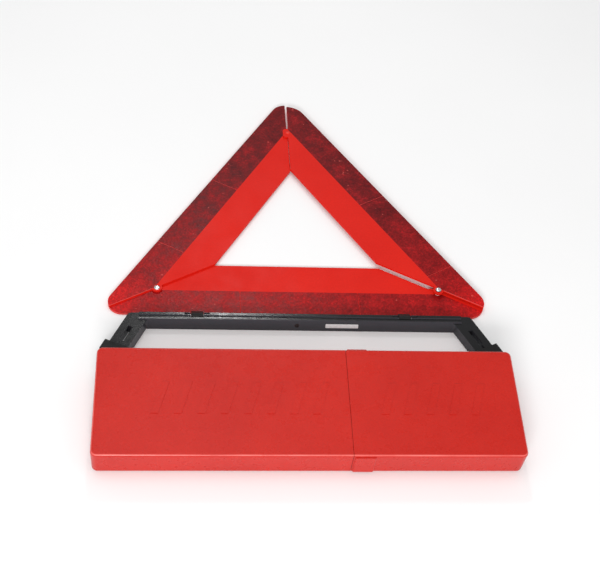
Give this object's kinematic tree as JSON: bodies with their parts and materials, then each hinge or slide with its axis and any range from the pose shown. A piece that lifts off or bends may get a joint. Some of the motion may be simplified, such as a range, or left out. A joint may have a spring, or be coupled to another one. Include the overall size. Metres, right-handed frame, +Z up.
{
  "type": "warning triangle",
  "caption": "Folding road warning triangle with three hinged reflector arms on a weighted U-shaped stand, beside its two-piece red plastic storage case.",
  "frame": {"origin": "centre of the whole object's box, on the surface that it stands on", "axes": "+X along the stand's bar and the case, +Y from the case towards the triangle's apex, +Z up"},
  "size_m": [0.4544, 0.606, 0.0483],
  "materials": {
    "retro_reflector": "prismatic gloss",
    "fluorescent_plastic": "fluorescent satin",
    "bracket_metal": "black painted",
    "pin_steel": "plain steel",
    "rivet_metal": "bright",
    "spacer_plastic": "natural nylon",
    "stud_plastic": "gloss",
    "label_film": "blank white film",
    "foot_plastic": "fine grain",
    "case_plastic": "fine satin grain",
    "stand_metal": "black satin coating"
  },
  "bodies": {
    "stand": {"stand_frame": "stand_metal", "bar_screw": "pin_steel", "bar_label": "label_film", "hinge_pin_left": "pin_steel", "hinge_pin_right": "pin_steel"},
    "base_arm": {"base_carrier": "fluorescent_plastic", "base_lens_1": "retro_reflector", "base_lens_2": "retro_reflector", "base_lens_3": "retro_reflector", "hinge_bracket_left": "bracket_metal", "hinge_bracket_right": "bracket_metal", "left_rivet": "rivet_metal", "right_rivet": "rivet_metal", "right_spacer": "spacer_plastic"},
    "left_arm": {"left_carrier": "fluorescent_plastic", "left_lens_1": "retro_reflector", "left_lens_2": "retro_reflector", "left_lens_3": "retro_reflector"},
    "right_arm": {"right_carrier": "fluorescent_plastic", "right_lens_1": "retro_reflector", "right_lens_2": "retro_reflector", "right_lens_3": "retro_reflector", "apex_stud": "stud_plastic"},
    "left_foot": {"left_foot": "foot_plastic"},
    "right_foot": {"right_foot": "foot_plastic"},
    "case_body": {"case_body": "case_plastic"},
    "case_cap": {"case_cap": "case_plastic"}
  },
  "joints": [
    {"name": "triangle_tilt", "type": "hinge", "parent": "stand", "child": "base_arm", "pos_m": [0, -0.09297, 0.01], "axis": [1, 0, 0], "range_deg": [0, 90]},
    {"name": "left_arm_fold", "type": "hinge", "parent": "base_arm", "child": "left_arm", "pos_m": [-0.1671, -0.04477, 0.004], "axis": [0, 0, 1], "range_deg": [-60, 0]},
    {"name": "right_arm_fold", "type": "hinge", "parent": "base_arm", "child": "right_arm", "pos_m": [0.1671, -0.04477, 0.007], "axis": [0, 0, 1], "range_deg": [0, 60]},
    {"name": "left_foot_slide", "type": "slide", "parent": "stand", "child": "left_foot", "axis": [0.4147, 0.91, 0], "range_m": [0, 0.01]},
    {"name": "right_foot_slide", "type": "slide", "parent": "stand", "child": "right_foot", "axis": [-0.4147, 0.91, 0], "range_m": [0, 0.01]},
    {"name": "case_lift", "type": "slide", "parent": "stand", "child": "case_body", "axis": [0, 0, 1], "range_m": [0, 0.12]},
    {"name": "cap_slide", "type": "slide", "parent": "case_body", "child": "case_cap", "axis": [1, 0, 0], "range_m": [0, 0.06]}
  ]
}
